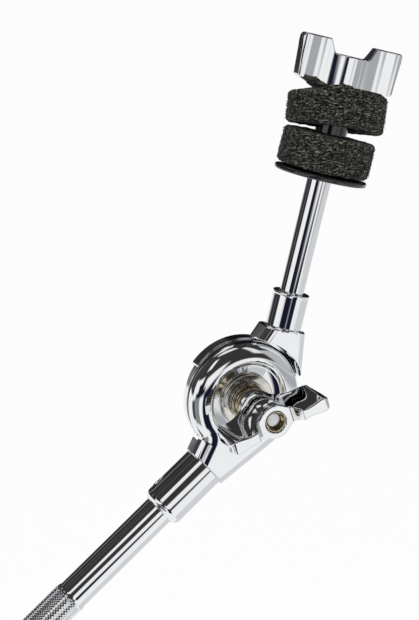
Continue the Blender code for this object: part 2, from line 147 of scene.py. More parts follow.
links(card, (math_node(card, "MULTIPLY", *inside), blend.inputs["Factor"]),
      (given["Behind"], blend.inputs["A"]), (given["Card"], blend.inputs["B"]),
      (blend.outputs["Result"], seen.inputs["Seen"]))

world = bpy.data.worlds.new("tent")
scene.world = world
world.use_nodes = True
tent = world.node_tree
tent.nodes.clear()
direction = tent.nodes.new("ShaderNodeTexCoord").outputs["Generated"]
behind = None
for turn, height, half_width, half_height, colour in CARDS:
    placed = tent.nodes.new("ShaderNodeGroup")
    placed.node_tree = card
    for socket, degrees in zip(placed.inputs[2:6], (turn, height, half_width, half_height)):
        socket.default_value = math.radians(degrees)
    placed.inputs["Card"].default_value = (*colour, 1.0)
    placed.inputs["Behind"].default_value = (*TENT, 1.0)
    links(tent, (direction, placed.inputs["Direction"]))
    if behind:
        links(tent, (behind, placed.inputs["Behind"]))
    behind = placed.outputs["Seen"]
light_path = tent.nodes.new("ShaderNodeLightPath")
mirrored = tent.nodes.new("ShaderNodeBackground")
links(tent, (behind, mirrored.inputs["Color"]))
backdrop = tent.nodes.new("ShaderNodeBackground")
backdrop.inputs["Color"].default_value = WHITE
soft_light = tent.nodes.new("ShaderNodeBackground")
soft_light.inputs["Color"].default_value = SOFT_LIGHT
soft_light.inputs["Strength"].default_value = SOFT_LIGHT_POWER
metal_or_lamp = tent.nodes.new("ShaderNodeMixShader")
camera_or_other = tent.nodes.new("ShaderNodeMixShader")
straight_ray = math_node(tent, "MAXIMUM", light_path.outputs["Is Camera Ray"],
                         light_path.outputs["Is Transmission Ray"])
links(tent, (light_path.outputs["Is Glossy Ray"], metal_or_lamp.inputs["Fac"]),
      (soft_light.outputs[0], metal_or_lamp.inputs[1]), (mirrored.outputs[0], metal_or_lamp.inputs[2]),
      (straight_ray, camera_or_other.inputs["Fac"]),
      (metal_or_lamp.outputs[0], camera_or_other.inputs[1]),
      (backdrop.outputs[0], camera_or_other.inputs[2]),
      (camera_or_other.outputs[0], tent.nodes.new("ShaderNodeOutputWorld").inputs["Surface"]))

FLOOR_HEIGHT = -0.25
FLOOR_HALF = 8.0
FLOOR_SHADOW = 0.05
PAPER = (0.92, 0.92, 0.92, 1.0)
PAPER_ROUGHNESS = 0.9
floor_shape = bmesh.new()
bmesh.ops.create_grid(floor_shape, x_segments=1, y_segments=1, size=FLOOR_HALF,
                      matrix=Matrix.Translation((PIVOT.x, 0.0, FLOOR_HEIGHT)))
floor_mesh = bpy.data.meshes.new("floor")
floor_shape.to_mesh(floor_mesh)
floor_shape.free()
floor = bpy.data.objects.new("floor", floor_mesh)
scene.collection.objects.link(floor)
floor.visible_glossy = False
sweep = bpy.data.materials.new("white_sweep")
sweep.use_nodes = True
tree = sweep.node_tree
paper = tree.nodes["Principled BSDF"]
paper.inputs["Base Color"].default_value = PAPER
paper.inputs["Roughness"].default_value = PAPER_ROUGHNESS
white = tree.nodes.new("ShaderNodeEmission")
white.inputs["Color"].default_value = WHITE
whitened = tree.nodes.new("ShaderNodeMixShader")
seen_straight = tree.nodes.new("ShaderNodeLightPath").outputs["Is Camera Ray"]
links(tree, (math_node(tree, "MULTIPLY", seen_straight, 1 - FLOOR_SHADOW), whitened.inputs["Fac"]),
      (paper.outputs[0], whitened.inputs[1]), (white.outputs[0], whitened.inputs[2]),
      (whitened.outputs[0], tree.nodes["Material Output"].inputs["Surface"]))
floor_mesh.materials.append(sweep)

LAMPS = [  # name, place, size, power in watts
    ("key_lamp", (-0.55, -0.75, 1.05), 0.8, 9.0),
    ("fill_lamp", (0.95, -0.7, 0.7), 0.7, 4.0),
]
for name, place, size, power in LAMPS:
    lamp_data = bpy.data.lights.new(name, "AREA")
    lamp_data.size = size
    lamp_data.energy = power
    lamp = bpy.data.objects.new(name, lamp_data)
    scene.collection.objects.link(lamp)
    lamp.location = place
    lamp.rotation_euler = (PIVOT - Vector(place)).to_track_quat("-Z", "Y").to_euler()
    lamp.visible_glossy = False

# Boom rod
# A chromed steel bar pressed into the lower casting. Its far part is diamond knurled,
# so that the clamp on a stand's top tube can't slip on it.
BOOM_ANGLE = math.radians(39.0)
AXIS_OFFSET = 0.0116
ROD_DIR = Vector((-math.cos(BOOM_ANGLE), 0.0, -math.sin(BOOM_ANGLE)))
ROD_SIDE = Vector((math.sin(BOOM_ANGLE), 0.0, -math.cos(BOOM_ANGLE)))
ALONG_NECK = Matrix.Translation((0, AXIS_OFFSET, 0)) @ Matrix.Rotation(math.pi / 2, 4, "Y")


def on_pivot(along, across, outward):
    """A frame on the tilter's pivot: X along the neck, Y across to its bar, Z out of the casting's face."""
    return Matrix.Translation(PIVOT) @ Matrix((along, across, outward)).transposed().to_4x4()


def rounded(corners, steps=5):
    """Points round an outline of (a, b, radius) corners, each corner turned into an arc."""
    points = []
    for i, (a, b, radius) in enumerate(corners):
        here = Vector((a, b))
        if not radius:
            points.append(here)
            continue
        before = (Vector(corners[i - 1][:2]) - here).normalized()
        after = (Vector(corners[(i + 1) % len(corners)][:2]) - here).normalized()
        half = before.angle(after) / 2
        middle = here + (before + after).normalized() * (radius / math.sin(half))
        start = here + before * (radius / math.tan(half)) - middle
        turn = start.angle_signed(here + after * (radius / math.tan(half)) - middle)
        for step in range(steps + 1):
            points.append(middle + Matrix.Rotation(-turn * step / steps, 2) @ start)
    return points


def turned(profile, steps=128):
    """Spin (radius, height) points about Z. A profile that starts on the axis also ends there."""
    shape = bmesh.new()
    points = [shape.verts.new((p[0], 0.0, p[1])) for p in profile]
    edges = [shape.edges.new(pair) for pair in zip(points, points[1:])]
    if profile[0][0] > 0.0:
        edges.append(shape.edges.new((points[-1], points[0])))
    bmesh.ops.spin(shape, geom=points + edges, cent=(0, 0, 0), axis=(0, 0, 1), dvec=(0, 0, 0),
                   angle=math.tau, steps=steps, use_merge=True, use_duplicate=False)
    bmesh.ops.remove_doubles(shape, verts=shape.verts[:], dist=1e-7)
    bmesh.ops.recalc_face_normals(shape, faces=shape.faces[:])
    return shape


def moved(shape, matrix):
    bmesh.ops.transform(shape, matrix=matrix, verts=shape.verts[:])
    return shape


SHARP_ANGLE = math.radians(32)
SOFTENED_ANGLE = math.radians(40)


def shown(name, shape, finish, body, node, edge=0.0):
    """Make a piece of the shape, ride it on its body and let it stand for its node."""
    mesh = bpy.data.meshes.new(name)
    shape.to_mesh(mesh)
    shape.free()
    mesh.shade_smooth()
    mesh.set_sharp_from_angle(angle=SHARP_ANGLE)
    mesh.materials.append(finish)
    piece = bpy.data.objects.new(name, mesh)
    scene.collection.objects.link(piece)
    if edge:
        soften = piece.modifiers.new("softened_edges", "BEVEL")
        soften.width = edge
        soften.segments = 2
        soften.limit_method = "ANGLE"
        soften.angle_limit = SOFTENED_ANGLE
        soften.use_clamp_overlap = False
    piece.modifiers.new("even_normals", "WEIGHTED_NORMAL").keep_sharp = True
    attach(piece, body)
    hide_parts(node)
    return piece


CLOUD_DETAIL = 5.0
SMEAR_DETAIL = 3.0
SMEAR_DISTORTION = 1.5
SMEAR_GRAIN = 0.35
SMEAR_LOW = 0.4
SMEAR_SPREAD = 1.2
handling = bpy.data.node_groups.new("handling_marks", "ShaderNodeTree")
for name, kind in (("Colour", "Color"), ("Roughness", "Float"), ("Grain", "Float"), ("Contrast", "Float")):
    handling.interface.new_socket(name, in_out="INPUT", socket_type="NodeSocket" + kind)
for name, kind in (("Colour", "Color"), ("Roughness", "Float")):
    handling.interface.new_socket(name, in_out="OUTPUT", socket_type="NodeSocket" + kind)
given = handling.nodes.new("NodeGroupInput").outputs
marked = handling.nodes.new("NodeGroupOutput").inputs
where = handling.nodes.new("ShaderNodeTexCoord").outputs["Object"]
clouds = handling.nodes.new("ShaderNodeTexNoise")
clouds.inputs["Detail"].default_value = CLOUD_DETAIL
smears = handling.nodes.new("ShaderNodeTexNoise")
smears.inputs["Detail"].default_value = SMEAR_DETAIL
smears.inputs["Distortion"].default_value = SMEAR_DISTORTION
tinted = handling.nodes.new("ShaderNodeVectorMath")
tinted.operation = "SCALE"
links(handling, (where, clouds.inputs["Vector"]), (given["Grain"], clouds.inputs["Scale"]),
      (where, smears.inputs["Vector"]),
      (math_node(handling, "MULTIPLY", given["Grain"], SMEAR_GRAIN), smears.inputs["Scale"]))
cloudy = math_node(handling, "SUBTRACT", clouds.outputs["Fac"], 0.5)
shade = math_node(handling, "ADD", math_node(handling, "MULTIPLY", cloudy, given["Contrast"]), 1.0)
smear = math_node(handling, "MULTIPLY", smears.outputs["Fac"], SMEAR_SPREAD)
smeared = math_node(handling, "ADD", smear, SMEAR_LOW)
links(handling, (given["Colour"], tinted.inputs[0]), (shade, tinted.inputs["Scale"]),
      (tinted.outputs["Vector"], marked["Colour"]),
      (math_node(handling, "MULTIPLY", given["Roughness"], smeared), marked["Roughness"]))


def handled(name, metallic, colour, roughness, grain, contrast):
    """A finish whose tone and gloss drift a little over the surface, as on a piece in use."""
    made = bpy.data.materials.new(name)
    made.use_nodes = True
    tree = made.node_tree
    shader = tree.nodes["Principled BSDF"]
    shader.inputs["Metallic"].default_value = metallic
    marks = tree.nodes.new("ShaderNodeGroup")
    marks.node_tree = handling
    marks.inputs["Colour"].default_value = (*colour, 1.0)
    marks.inputs["Roughness"].default_value = roughness
    marks.inputs["Grain"].default_value = grain
    marks.inputs["Contrast"].default_value = contrast
    links(tree, (marks.outputs["Colour"], shader.inputs["Base Color"]),
          (marks.outputs["Roughness"], shader.inputs["Roughness"]))
    return made


chrome = handled("chrome_plate", 1.0, (0.86, 0.87, 0.88), 0.03, 70.0, 0.08)
BOOM = on_pivot(ROD_DIR, ROD_SIDE, Vector((0, -1, 0)))
ROD_R = 0.0070
ROD_START = 0.0360
ROD_START_ROUND = 0.0008
KNURL_R = 0.0075
KNURL_START = 0.1130
KNURL_RAMP = 0.0015
ROD_END = 0.2900
ROD_CHAMFER = 0.0012
KNURL_STARTS = 38
KNURL_DEPTH = 0.00042
KNURL_ANGLE = math.radians(40)
KNURL_SAMPLES = 4
TOUCH = 1e-6
knurl_pitch = math.tau * KNURL_R / KNURL_STARTS
knurl_row = knurl_pitch / KNURL_SAMPLES / math.tan(KNURL_ANGLE)
knurl_from = KNURL_START + KNURL_RAMP
knurl_rows = int((ROD_END - ROD_CHAMFER - knurl_from) / knurl_row)
rod_profile = rounded([
    (0.0, ROD_START, 0), (ROD_R, ROD_START, ROD_START_ROUND),
    (ROD_R, KNURL_START, 0), (KNURL_R, knurl_from, 0),
])
rod_profile += [(KNURL_R, knurl_from + knurl_row * (row + 1)) for row in range(knurl_rows)]
rod_profile += [(KNURL_R, ROD_END - ROD_CHAMFER), (KNURL_R - ROD_CHAMFER, ROD_END), (0.0, ROD_END)]
rod_shape = turned(rod_profile, KNURL_STARTS * KNURL_SAMPLES)
for vert in rod_shape.verts:
    along = vert.co.z - knurl_from
    if -TOUCH < along < knurl_row * knurl_rows + TOUCH and vert.co.xy.length > ROD_R:
        around = math.atan2(vert.co.y, vert.co.x) * KNURL_R
        slant = along * math.tan(KNURL_ANGLE)
        crossing = [abs(math.sin(math.pi * (slant + side) / knurl_pitch)) for side in (around, -around)]
        sunk = KNURL_DEPTH * (1 - min(crossing)) * min(1.0, along / KNURL_RAMP)
        vert.co.xy *= 1 - sunk / KNURL_R
shown("rod", moved(rod_shape, BOOM @ ALONG_NECK), chrome, "boom", "boom_rod")

# Lower casting
# The boom's half of the tilter: a zinc casting, polished and chromed, whose disc, neck and collar
# are one piece. The disc has a bowl for the washers, and the neck steps round the other disc.
PARTING = 0.0008
DISC_R = 0.0261
DISC_FACE = 0.0075
LOWER_CROWN = (0.0077, 0.0054)
NECK_FACE = 0.0073
NECK_FILLET = 0.0042
NECK_END = 0.0334
NECK_NEAR = 0.0018
LOWER_NECK_FAR = 0.0224
NECK_FLARE = math.radians(3)
NECK_CROTCH = 0.0020
STEP_R = 0.02755
RECESS_R = 0.0184
RECESS_FLOOR = 0.0046
RECESS_FLOOR_R = 0.0126
BOWL_FOOT_R = 0.0163
BOWL_FOOT = 0.0054
BOWL_FOOT_ROUND = 0.0012
BOWL_LIP_R = 0.0177
BOWL_LIP_ROUND = 0.0013
BOLT_HOLE_R = 0.003475
SOCKET_FLOOR = 0.0357
GAP = 0.0003
RIM_STEPS = 120
CAST_EDGE = 0.0003


def carved(base, *steps):
    """Apply exact Booleans to a shape: each step is an operation and the shape that it uses."""
    def loose(shape):
        mesh = bpy.data.meshes.new("form")
        shape.to_mesh(mesh)
        shape.free()
        form = bpy.data.objects.new("form", mesh)
        scene.collection.objects.link(form)
        return form

    body = loose(base)
    forms = [body]
    for operation, shape in steps:
        forms.append(loose(shape))
        cut = body.modifiers.new("cut", "BOOLEAN")
        cut.operation = operation
        cut.solver = "EXACT"
        cut.object = forms[-1]
    result = bmesh.new()
    result.from_object(body, bpy.context.evaluated_depsgraph_get())
    for form in forms:
        mesh = form.data
        bpy.data.objects.remove(form)
        bpy.data.meshes.remove(mesh)
    return result


def prism(outline, low, high):
    """Extrude a flat outline from one height to another."""
    shape = bmesh.new()
    base = shape.faces.new([shape.verts.new((p[0], p[1], low)) for p in outline])
    raised = bmesh.ops.extrude_face_region(shape, geom=[base])["geom"]
    corners = [item for item in raised if isinstance(item, bmesh.types.BMVert)]
    bmesh.ops.translate(shape, verts=corners, vec=(0, 0, high - low))
    bmesh.ops.recalc_face_normals(shape, faces=shape.faces[:])
    return shape


def bar(radius, low, high, steps=64):
    return turned([(0.0, low), (radius, low), (radius, high), (0.0, high)], steps)


def casting_shape(collar, socket_r, collar_end, far, crown, *extra):
    """A rounded slab for disc and neck, joined to the collar, cut for the other disc, washers and bar."""
    first = math.atan2(far, NECK_END) + math.acos(DISC_R / math.hypot(NECK_END, far))
    sweep = math.tau - NECK_FLARE - first
    turns = [first + sweep * i / RIM_STEPS for i in range(RIM_STEPS - 2)]
    rim = [(DISC_R * math.cos(turn), DISC_R * math.sin(turn), 0) for turn in turns]
    crotch = (DISC_R * math.cos(NECK_FLARE), -DISC_R * math.sin(NECK_FLARE), NECK_CROTCH)
    outline = rounded([(NECK_END, NECK_NEAR, 0), (NECK_END, far, 0)] + rim + [crotch])
    slab = prism(outline, -NECK_FACE, DISC_FACE)
    for face, width, depth in ((DISC_FACE, *crown), (-NECK_FACE, NECK_FILLET, NECK_FILLET)):
        moved(slab, Matrix.Scale(width / depth, 4, (0, 0, 1)))
        edges = [e for e in slab.edges if all(abs(v.co.z - face * width / depth) < TOUCH for v in e.verts)
                 and not all(abs(v.co.x - NECK_END) < TOUCH for v in e.verts)]
        bmesh.ops.bevel(slab, geom=edges, offset=width, segments=12, profile=0.5, affect="EDGES",
                        material=-1)
        moved(slab, Matrix.Scale(depth / width, 4, (0, 0, 1)))
    step = bar(STEP_R, -2 * DISC_FACE, PARTING, 128)
    wall = rounded([(RECESS_FLOOR_R, RECESS_FLOOR, 0), (BOWL_FOOT_R, BOWL_FOOT, BOWL_FOOT_ROUND),
                    (BOWL_LIP_R, DISC_FACE, BOWL_LIP_ROUND), (RECESS_R + NECK_CROTCH, DISC_FACE, 0)],
                   8)[:-1]
    recess = turned([(0.0, -2 * DISC_FACE), (BOLT_HOLE_R, -2 * DISC_FACE), (BOLT_HOLE_R, RECESS_FLOOR)]
                    + wall + [(wall[-1][0], 2 * DISC_FACE), (0.0, 2 * DISC_FACE)])
    socket = moved(bar(socket_r + GAP, SOCKET_FLOOR, collar_end + NECK_END), ALONG_NECK)
    return carved(slab, ("UNION", moved(turned(collar), ALONG_NECK)), ("DIFFERENCE", step),
                  ("DIFFERENCE", recess), ("DIFFERENCE", socket), *extra)


COLLAR_START = NECK_END - 0.0006
LOWER_COLLAR_R = 0.0097
LOWER_COLLAR_END = 0.0609
LOWER_COLLAR_ROUND = 0.0035
GRUB_R = 0.0023
GRUB_HOLE_R = 0.0026
LOWER_GRUB = 0.0520
LOWER_GRUB_TURN = math.radians(110)
lower_collar = rounded([
    (0.0, COLLAR_START, 0), (LOWER_COLLAR_R, COLLAR_START, 0),
    (LOWER_COLLAR_R, LOWER_COLLAR_END, LOWER_COLLAR_ROUND), (0.0, LOWER_COLLAR_END, 0),
], 10)
lower_grub_seat = (Matrix.Translation((LOWER_GRUB, AXIS_OFFSET, 0))
                   @ Matrix.Rotation(LOWER_GRUB_TURN, 4, "X"))
lower_grub_hole = moved(bar(GRUB_HOLE_R, ROD_R - GAP, LOWER_COLLAR_R + GRUB_R, 48), lower_grub_seat)
lower_shape = casting_shape(lower_collar, ROD_R, LOWER_COLLAR_END, LOWER_NECK_FAR, LOWER_CROWN,
                            ("DIFFERENCE", lower_grub_hole))
shown("lower_casting", moved(lower_shape, BOOM), chrome, "boom", "lower_tilter_casting",
      CAST_EDGE)

# Set screws
# Small zinc-plated set screws with a hexagon socket, one through each collar onto its bar.
# The lower one is made here, and the upper one with its casting.
steel = handled("zinc_plated_steel", 1.0, (0.66, 0.67, 0.68), 0.22, 400.0, 0.25)
GRUB_SOCKET = 0.0012
GRUB_SOCKET_DEPTH = 0.0008
GRUB_ROUND = 0.0003


def grub_shape(tip, head):
    """A set screw along Z, from its tip on the bar to its head."""
    screw = turned(rounded([(0.0, tip, 0), (GRUB_R, tip, GRUB_ROUND),
                            (GRUB_R, head, GRUB_ROUND), (0.0, head, 0)]), 48)
    key = bmesh.new()
    bmesh.ops.create_cone(key, cap_ends=True, segments=6, radius1=GRUB_SOCKET, radius2=GRUB_SOCKET,
                          depth=2 * GRUB_SOCKET_DEPTH, matrix=Matrix.Translation((0, 0, head)))
    return carved(screw, ("DIFFERENCE", key))


lower_grub = grub_shape(ROD_R + GAP, LOWER_COLLAR_R - GAP)
shown("lower_set_screw", moved(lower_grub, BOOM @ lower_grub_seat), steel, "boom",
      "lower_grub_screw")

# Tilter bolt
# A zinc-plated hexagon bolt through both castings, with a washer under its head at the back.
# Its head is chamfered, and its end shows in the wing nut's insert.
BOLT_R = 0.003175
BOLT_END = 0.0324
HEAD_R = 0.0066
HEAD_TOP = -0.0068
HEAD_THICK = 0.0050
HEAD_BASE = HEAD_TOP - HEAD_THICK
HEAD_CHAMFER = 0.0010
HEAD_FLAT_R = 0.0052
HEAD_CORNER_R = 0.0070
SHANK_START = HEAD_TOP - 0.0025
SHANK_END_ROUND = 0.0005
HEAD_WASHER_R = 0.0088
HEAD_WASHER_BACK = -0.0065
HEAD_WASHER_FRONT = -0.0049
head_bevel = turned([(0.0, HEAD_BASE - HEAD_CHAMFER), (HEAD_FLAT_R, HEAD_BASE),
                     (HEAD_CORNER_R, HEAD_BASE + HEAD_CHAMFER), (HEAD_CORNER_R, HEAD_TOP),
                     (0.0, HEAD_TOP)], 96)
hexagon = [(HEAD_R * math.cos(math.tau * i / 6), HEAD_R * math.sin(math.tau * i / 6)) for i in range(6)]
shank = turned(rounded([(0.0, SHANK_START, 0), (BOLT_R, SHANK_START, 0),
                        (BOLT_R, BOLT_END, SHANK_END_ROUND), (0.0, BOLT_END, 0)]), 64)
bolt_shape = carved(prism(hexagon, HEAD_BASE, HEAD_TOP), ("INTERSECT", head_bevel), ("UNION", shank))
shown("tilter_bolt_plated", moved(bolt_shape, BOOM), steel, "boom", "tilter_bolt")


def ring(inner, outer, low, high, edge=0.0002, steps=96):
    return turned(rounded([(inner, low, edge), (outer, low, edge),
                           (outer, high, edge), (inner, high, edge)], 3), steps)


head_washer = ring(BOLT_HOLE_R, HEAD_WASHER_R, HEAD_WASHER_BACK, HEAD_WASHER_FRONT)
shown("head_washer", moved(head_washer, BOOM), steel, "boom", "bolt_head_washer")

# Friction disc and washers
# A dark fibre disc between the castings, and in the bowl a thick plated washer with two
# dished spring washers face to face.
fibre = handled("friction_fibre", 0.0, (0.04, 0.04, 0.04), 0.8, 900.0, 0.8)
FRICTION_R = 0.0252
FRICTION_HALF = 0.0005
friction_pad = ring(BOLT_HOLE_R, FRICTION_R, -FRICTION_HALF, FRICTION_HALF)
shown("friction_pad", moved(friction_pad, BOOM), fibre, "boom", "friction_disc")
nickel = handled("warm_plating", 1.0, (0.72, 0.695, 0.64), 0.15, 500.0, 0.25)
THRUST_R = 0.0121
THRUST_BACK = 0.0049
THRUST_FRONT = 0.0065
THRUST_ROUND = 0.0005
thick_washer = ring(BOLT_HOLE_R, THRUST_R, THRUST_BACK, THRUST_FRONT, THRUST_ROUND)
shown("thick_washer", moved(thick_washer, BOOM), nickel, "boom", "thrust_washer")
SPRING_R = 0.0088
SPRING_THICK = 0.0006
SPRING_ROUND = 0.0002
SPRINGS = [  # piece, node, height of the back at the hole and at the rim
    ("inner_spring", "spring_washer_inner", 0.0072, 0.0068),
    ("outer_spring", "spring_washer_outer", 0.0081, 0.0085),
]
for name, node, inner_low, outer_low in SPRINGS:
    cone = rounded([(BOLT_HOLE_R, inner_low, SPRING_ROUND), (SPRING_R, outer_low, SPRING_ROUND),
                    (SPRING_R, outer_low + SPRING_THICK, SPRING_ROUND),
                    (BOLT_HOLE_R, inner_low + SPRING_THICK, SPRING_ROUND)], 3)
    shown(name, moved(turned(cone, 96), BOOM), nickel, "boom", node)

# Tilter wing nut
# A chromed cast wing nut with a round boss behind it, pressed onto a brass threaded insert.
# Its wings are waisted near the hub and end in rounded tips.
HUB_R = 0.0076
HUB_HEIGHT = 0.0181
WING_TOP = 0.0238
WING_SPAN = 0.0241
WING_LOW_CORNER = 0.0224
WING_LOW_RISE = 0.0055
WING_FLAT = 0.0080
WING_HALF = 0.0032
WAIST_HALF = 0.0023
WING_WAIST = 0.0140
TIP_ROUND = 0.0030
WING_FOOT_ROUND = 0.0020
WING_LOW_ROUND = 0.0012
WING_TOP_ROUND = 0.0022
NOTCH_FLOOR = 0.0080
NOTCH_FLOOR_ROUND = 0.0012
NOTCH_TOP = 0.0106
NOTCH_TOP_ROUND = 0.0008
NUT_EDGE = 0.0006
OVERCUT = 0.0010
BOSS_R = 0.0074
BOSS_LENGTH = 0.0045
TILTER_NUT_BASE = 0.0168
TILTER_BORE_R = 0.004705


def nut_plan():
    """Hub and wings seen along the nut's axis, wings along Y: a hollow from hub to waist, a rounded tip."""
    hollow_r = (WING_WAIST ** 2 - HUB_R ** 2 + WAIST_HALF ** 2) / (2 * (HUB_R - WAIST_HALF))
    meet = math.atan2(WING_WAIST, WAIST_HALF + hollow_r)
    swell = WING_HALF - WAIST_HALF
    bead = WING_SPAN - TIP_ROUND
    quarter = []
    for i in range(13):
        a = math.pi / 2 * (1 - i / 12)
        quarter.append((WING_HALF - TIP_ROUND * (1 - math.cos(a)), bead + TIP_ROUND * math.sin(a)))
    for i in range(1, 8):
        u = 1 - i / 8
        quarter.append((WAIST_HALF + swell * u * u * (3 - 2 * u), WING_WAIST + (bead - WING_WAIST) * u))
    for i in range(17):
        a = math.pi + meet * i / 16
        quarter.append((WAIST_HALF + hollow_r + hollow_r * math.cos(a),
                        WING_WAIST + hollow_r * math.sin(a)))
    for i in range(1, 13):
        a = meet * (1 - i / 12)
        quarter.append((HUB_R * math.cos(a), HUB_R * math.sin(a)))
    right = quarter + [(x, -y) for x, y in reversed(quarter[:-1])]
    return right + [(-x, -y) for x, y in right]


def nut_shape(boss, bore_r):
    """Plan and side view crossed, with the boss added and the bore cut, standing on the wings' base."""
    half = [(WING_FLAT, 0.0, WING_FOOT_ROUND), (WING_LOW_CORNER, WING_LOW_RISE, WING_LOW_ROUND),
            (WING_SPAN, WING_TOP, WING_TOP_ROUND), (NOTCH_TOP, WING_TOP, NOTCH_TOP_ROUND),
            (NOTCH_FLOOR, HUB_HEIGHT, NOTCH_FLOOR_ROUND)]
    side = prism(rounded(half + [(-y, z, r) for y, z, r in reversed(half)]), -WING_SPAN, WING_SPAN)
    upright = Matrix(((0, 0, 1, 0), (1, 0, 0, 0), (0, 1, 0, 0), (0, 0, 0, 1)))
    steps = [("INTERSECT", moved(side, upright))]
    if boss:
        steps.append(("UNION", bar(BOSS_R, -boss, HUB_HEIGHT / 2, 128)))
    steps.append(("DIFFERENCE", bar(bore_r, -boss - OVERCUT, WING_TOP, 64)))
    return carved(prism(nut_plan(), -OVERCUT, WING_TOP + OVERCUT), *steps)


brass = handled("turned_brass", 1.0, (0.66, 0.57, 0.40), 0.18, 500.0, 0.25)
TILTER_WING_RISE = math.radians(18.7)
tilter_turn = (Matrix.Rotation(math.pi / 2 + TILTER_WING_RISE - BOOM_ANGLE, 4, "Z")
               @ Matrix.Translation((0, 0, TILTER_NUT_BASE)))
tilter_nut = nut_shape(BOSS_LENGTH, TILTER_BORE_R)
shown("tilter_nut_chrome", moved(tilter_nut, BOOM @ tilter_turn),
      chrome, "tilter_nut", "tilter_wing_nut", NUT_EDGE)
FLANGE_R = 0.0077
FLANGE_BACK = 0.0094
FLANGE_FRONT = 0.0120
FLANGE_ROUND = 0.0003
TILTER_INSERT_R = 0.004405
TILTER_INSERT_END = 0.0346
MOUTH_R = 0.00415
MOUTH_FLOOR = 0.0321
insert = rounded([
    (BOLT_HOLE_R, FLANGE_BACK, 0), (FLANGE_R, FLANGE_BACK, FLANGE_ROUND),
    (FLANGE_R, FLANGE_FRONT, FLANGE_ROUND), (TILTER_INSERT_R, FLANGE_FRONT, 0),
    (TILTER_INSERT_R, TILTER_INSERT_END, 0), (MOUTH_R, TILTER_INSERT_END, 0),
    (MOUTH_R, MOUTH_FLOOR, 0), (BOLT_HOLE_R, MOUTH_FLOOR, 0),
], 3)
shown("tilter_insert", moved(turned(insert, 96), BOOM), brass, "tilter_thread",
      "tilter_nut_insert")

# Upper casting
# The post's half of the tilter, cast like the lower one and facing the other way, with a
# sharp rib raised along part of its rim.
POST_LEAN = math.radians(14.3)
POST_DIR = Vector((math.sin(POST_LEAN), 0.0, math.cos(POST_LEAN)))
POST_SIDE = Vector((math.cos(POST_LEAN), 0.0, -math.sin(POST_LEAN)))
POST = on_pivot(POST_DIR, POST_SIDE, Vector((0, 1, 0)))
POST_R = 0.00535
UPPER_CROWN = (0.0036, 0.0036)
UPPER_NECK_FAR = 0.0208
UPPER_COLLAR_R = 0.0080
UPPER_COLLAR_END = 0.0497
COLLAR_FOOT = 0.0004
COLLAR_FOOT_RISE = 0.0003
COLLAR_LIP = 0.0002
COLLAR_LIP_HEIGHT = 0.0008
COLLAR_END_ROUND = 0.0003
UPPER_GRUB = 0.04155
RIB_R = 0.02675
RIB_WIDTH = 0.0030
RIB_ANGLE = math.radians(66)
RIB_STEPS = 40
RIB_INSET = 0.0003
upper_collar = rounded([
    (0.0, COLLAR_START, 0), (UPPER_COLLAR_R + COLLAR_FOOT, COLLAR_START, 0),
    (UPPER_COLLAR_R + COLLAR_FOOT, NECK_END + COLLAR_FOOT_RISE, 0),
    (UPPER_COLLAR_R, NECK_END + 2 * COLLAR_FOOT, 2 * COLLAR_FOOT),
    (UPPER_COLLAR_R, UPPER_COLLAR_END - 2 * COLLAR_LIP_HEIGHT, 0),
    (UPPER_COLLAR_R + COLLAR_LIP, UPPER_COLLAR_END - COLLAR_LIP_HEIGHT, COLLAR_LIP),
    (UPPER_COLLAR_R + COLLAR_LIP, UPPER_COLLAR_END, COLLAR_END_ROUND), (0.0, UPPER_COLLAR_END, 0),
])
rib_angles = [-RIB_ANGLE * (1 - i / RIB_STEPS) for i in range(RIB_STEPS + 1)]
rib = [(RIB_R * math.cos(a), RIB_R * math.sin(a)) for a in rib_angles]
rib += [((RIB_R - RIB_WIDTH) * math.cos(a), (RIB_R - RIB_WIDTH) * math.sin(a))
        for a in reversed(rib_angles)]
upper_grub_seat = Matrix.Translation((UPPER_GRUB, AXIS_OFFSET, 0))
upper_grub_hole = moved(bar(GRUB_HOLE_R, POST_R - GAP, UPPER_COLLAR_R + GRUB_R, 48), upper_grub_seat)
upper_shape = casting_shape(upper_collar, POST_R, UPPER_COLLAR_END, UPPER_NECK_FAR, UPPER_CROWN,
                            ("DIFFERENCE", upper_grub_hole),
                            ("UNION", prism(rib, PARTING + RIB_INSET, NECK_FACE - RIB_INSET)))
shown("upper_casting", moved(upper_shape, POST), chrome, "post", "upper_tilter_casting",
      CAST_EDGE)
upper_grub = grub_shape(POST_R + GAP, UPPER_COLLAR_R - GAP)
shown("upper_set_screw", moved(upper_grub, POST @ upper_grub_seat), steel, "post",
      "upper_grub_screw")

# Cymbal post
# A thin chromed bar, held in the upper casting's collar, with a shoulder for the seat disc.
# Its threaded end goes on above the shoulder.
ON_POST = POST @ ALONG_NECK
POST_START = 0.0360
POST_ROUND = 0.0004
SHOULDER = 0.1016
THREAD_R = 0.0039
THREAD_TOP = 0.154010
THREAD_TOP_ROUND = 0.0006
post_profile = rounded([
    (0.0, POST_START, 0), (POST_R, POST_START, POST_ROUND), (POST_R, SHOULDER, POST_ROUND),
    (THREAD_R, SHOULDER, 0), (THREAD_R, THREAD_TOP, THREAD_TOP_ROUND), (0.0, THREAD_TOP, 0),
])
shown("post_bar", moved(turned(post_profile), ON_POST), chrome, "post", "cymbal_post")

